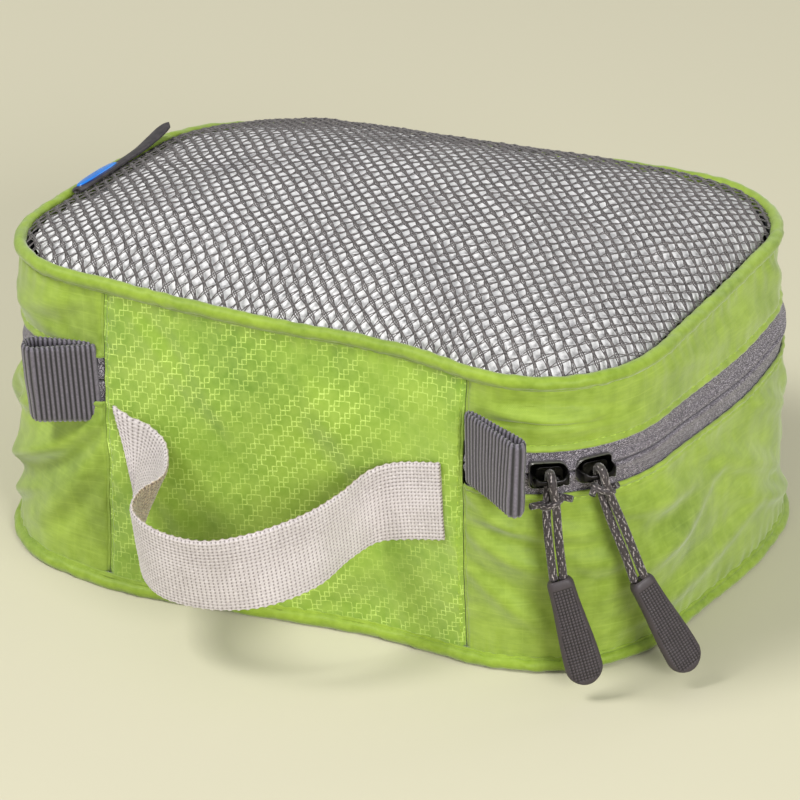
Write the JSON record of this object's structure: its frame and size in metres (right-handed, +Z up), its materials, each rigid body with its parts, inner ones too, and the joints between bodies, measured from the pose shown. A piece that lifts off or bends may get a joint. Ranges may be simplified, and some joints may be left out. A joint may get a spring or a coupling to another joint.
{
  "type": "packing cube",
  "caption": "Soft zipped packing cube with a domed net lid, piped edges, webbing carry handle, side loops and corded zipper pulls.",
  "frame": {"origin": "centre of the bottom panel, on the face it rests on", "axes": "+X along the long side, to the right as the handle side is faced; -Y is the handle side; +Z up, towards the net lid"},
  "size_m": [0.2243, 0.1951, 0.1094],
  "materials": {
    "lime_nylon": "coated plain nylon with a faint ripstop grid",
    "lime_ripstop": "nylon with a woven line pattern of small stepped diamonds",
    "lime_piping": "narrow bias strip of the wall cloth folded over a cord",
    "piping_core": "twisted polyester cord",
    "net": "knitted warp net, staggered rounded holes",
    "paper": "crumpled white tissue",
    "binding": "folded binding tape",
    "zipper_tape": "woven herringbone tape",
    "zipper_coil": "nylon coil, reversed",
    "slider_metal": "gunmetal lacquer",
    "grosgrain": "ribbed grosgrain",
    "webbing": "flat woven webbing, coarse basket weave",
    "pull_cord": "braided cord with pale flecks",
    "grip_rubber": "moulded soft plastic with a fine square grid",
    "tab_dark": "moulded tab, matt",
    "tab_blue": "plain blue badge"
  },
  "bodies": {
    "base": {"base_side_band": "lime_nylon", "front_panel_lower": "lime_ripstop", "bottom_panel": "lime_nylon", "bottom_piping_cover": "lime_piping", "bottom_piping_cord": "piping_core", "bottom_seam_binding": "binding", "front_seam_bindings_lower": "binding", "zipper_tape_lower": "zipper_tape", "zipper_coil_lower": "zipper_coil", "zipper_end_stops": "zipper_coil", "handle_end_left": "webbing", "handle_end_right": "webbing", "grosgrain_loop_left": "grosgrain", "grosgrain_loop_right": "grosgrain"},
    "lid": {"lid_side_band": "lime_nylon", "front_panel_upper": "lime_ripstop", "top_piping_cover": "lime_piping", "top_piping_cord": "piping_core", "top_seam_binding": "binding", "front_seam_bindings_upper": "binding", "zipper_tape_upper": "zipper_tape", "zipper_coil_upper": "zipper_coil", "net_panel": "net", "packing_paper": "paper"},
    "handle": {"handle_strap": "webbing"},
    "slider_left": {"slider_left": "slider_metal"},
    "slider_right": {"slider_right": "slider_metal"},
    "pull_left": {"pull_cord_left": "pull_cord", "pull_grip_left": "grip_rubber"},
    "pull_right": {"pull_cord_right": "pull_cord", "pull_grip_right": "grip_rubber"},
    "edge_tab": {"edge_tab": "tab_dark", "edge_tab_patch": "tab_blue"}
  },
  "joints": [
    {"name": "lid_hinge", "type": "hinge", "parent": "base", "child": "lid", "pos_m": [0, -0.0786, 0.0705], "axis": [1, 0, 0], "range_deg": [0, 95], "deforming": ["grosgrain_loop_left", "grosgrain_loop_right"]},
    {"name": "slider_left_run", "type": "hinge", "parent": "base", "child": "slider_left", "pos_m": [0.054, -0.029, 0.066], "axis": [0, 0, 1], "range_deg": [-3, 0]},
    {"name": "slider_right_run", "type": "hinge", "parent": "base", "child": "slider_right", "pos_m": [0.054, -0.029, 0.066], "axis": [0, 0, 1], "range_deg": [0, 28]},
    {"name": "pull_left_swing", "type": "hinge", "parent": "slider_left", "child": "pull_left", "pos_m": [0.08493, -0.0693, 0.066], "axis": [-0.7934, -0.6088, 0], "range_deg": [-4, 78]},
    {"name": "pull_right_swing", "type": "hinge", "parent": "slider_right", "child": "pull_right", "pos_m": [0.09484, -0.05922, 0.066], "axis": [-0.5948, -0.8039, 0], "range_deg": [-4, 78]},
    {"name": "handle_swing", "type": "hinge", "parent": "base", "child": "handle", "pos_m": [0, -0.0805, 0.0445], "axis": [-1, 0, 0], "range_deg": [-30, 45], "stiffness_Nm_per_rad": 0.02, "deforming": ["handle_strap"]},
    {"name": "tab_flex", "type": "hinge", "parent": "lid", "child": "edge_tab", "pos_m": [-0.095, -0.033, 0.0955], "axis": [1, 0, 0], "range_deg": [0, 60], "stiffness_Nm_per_rad": 0.002}
  ]
}
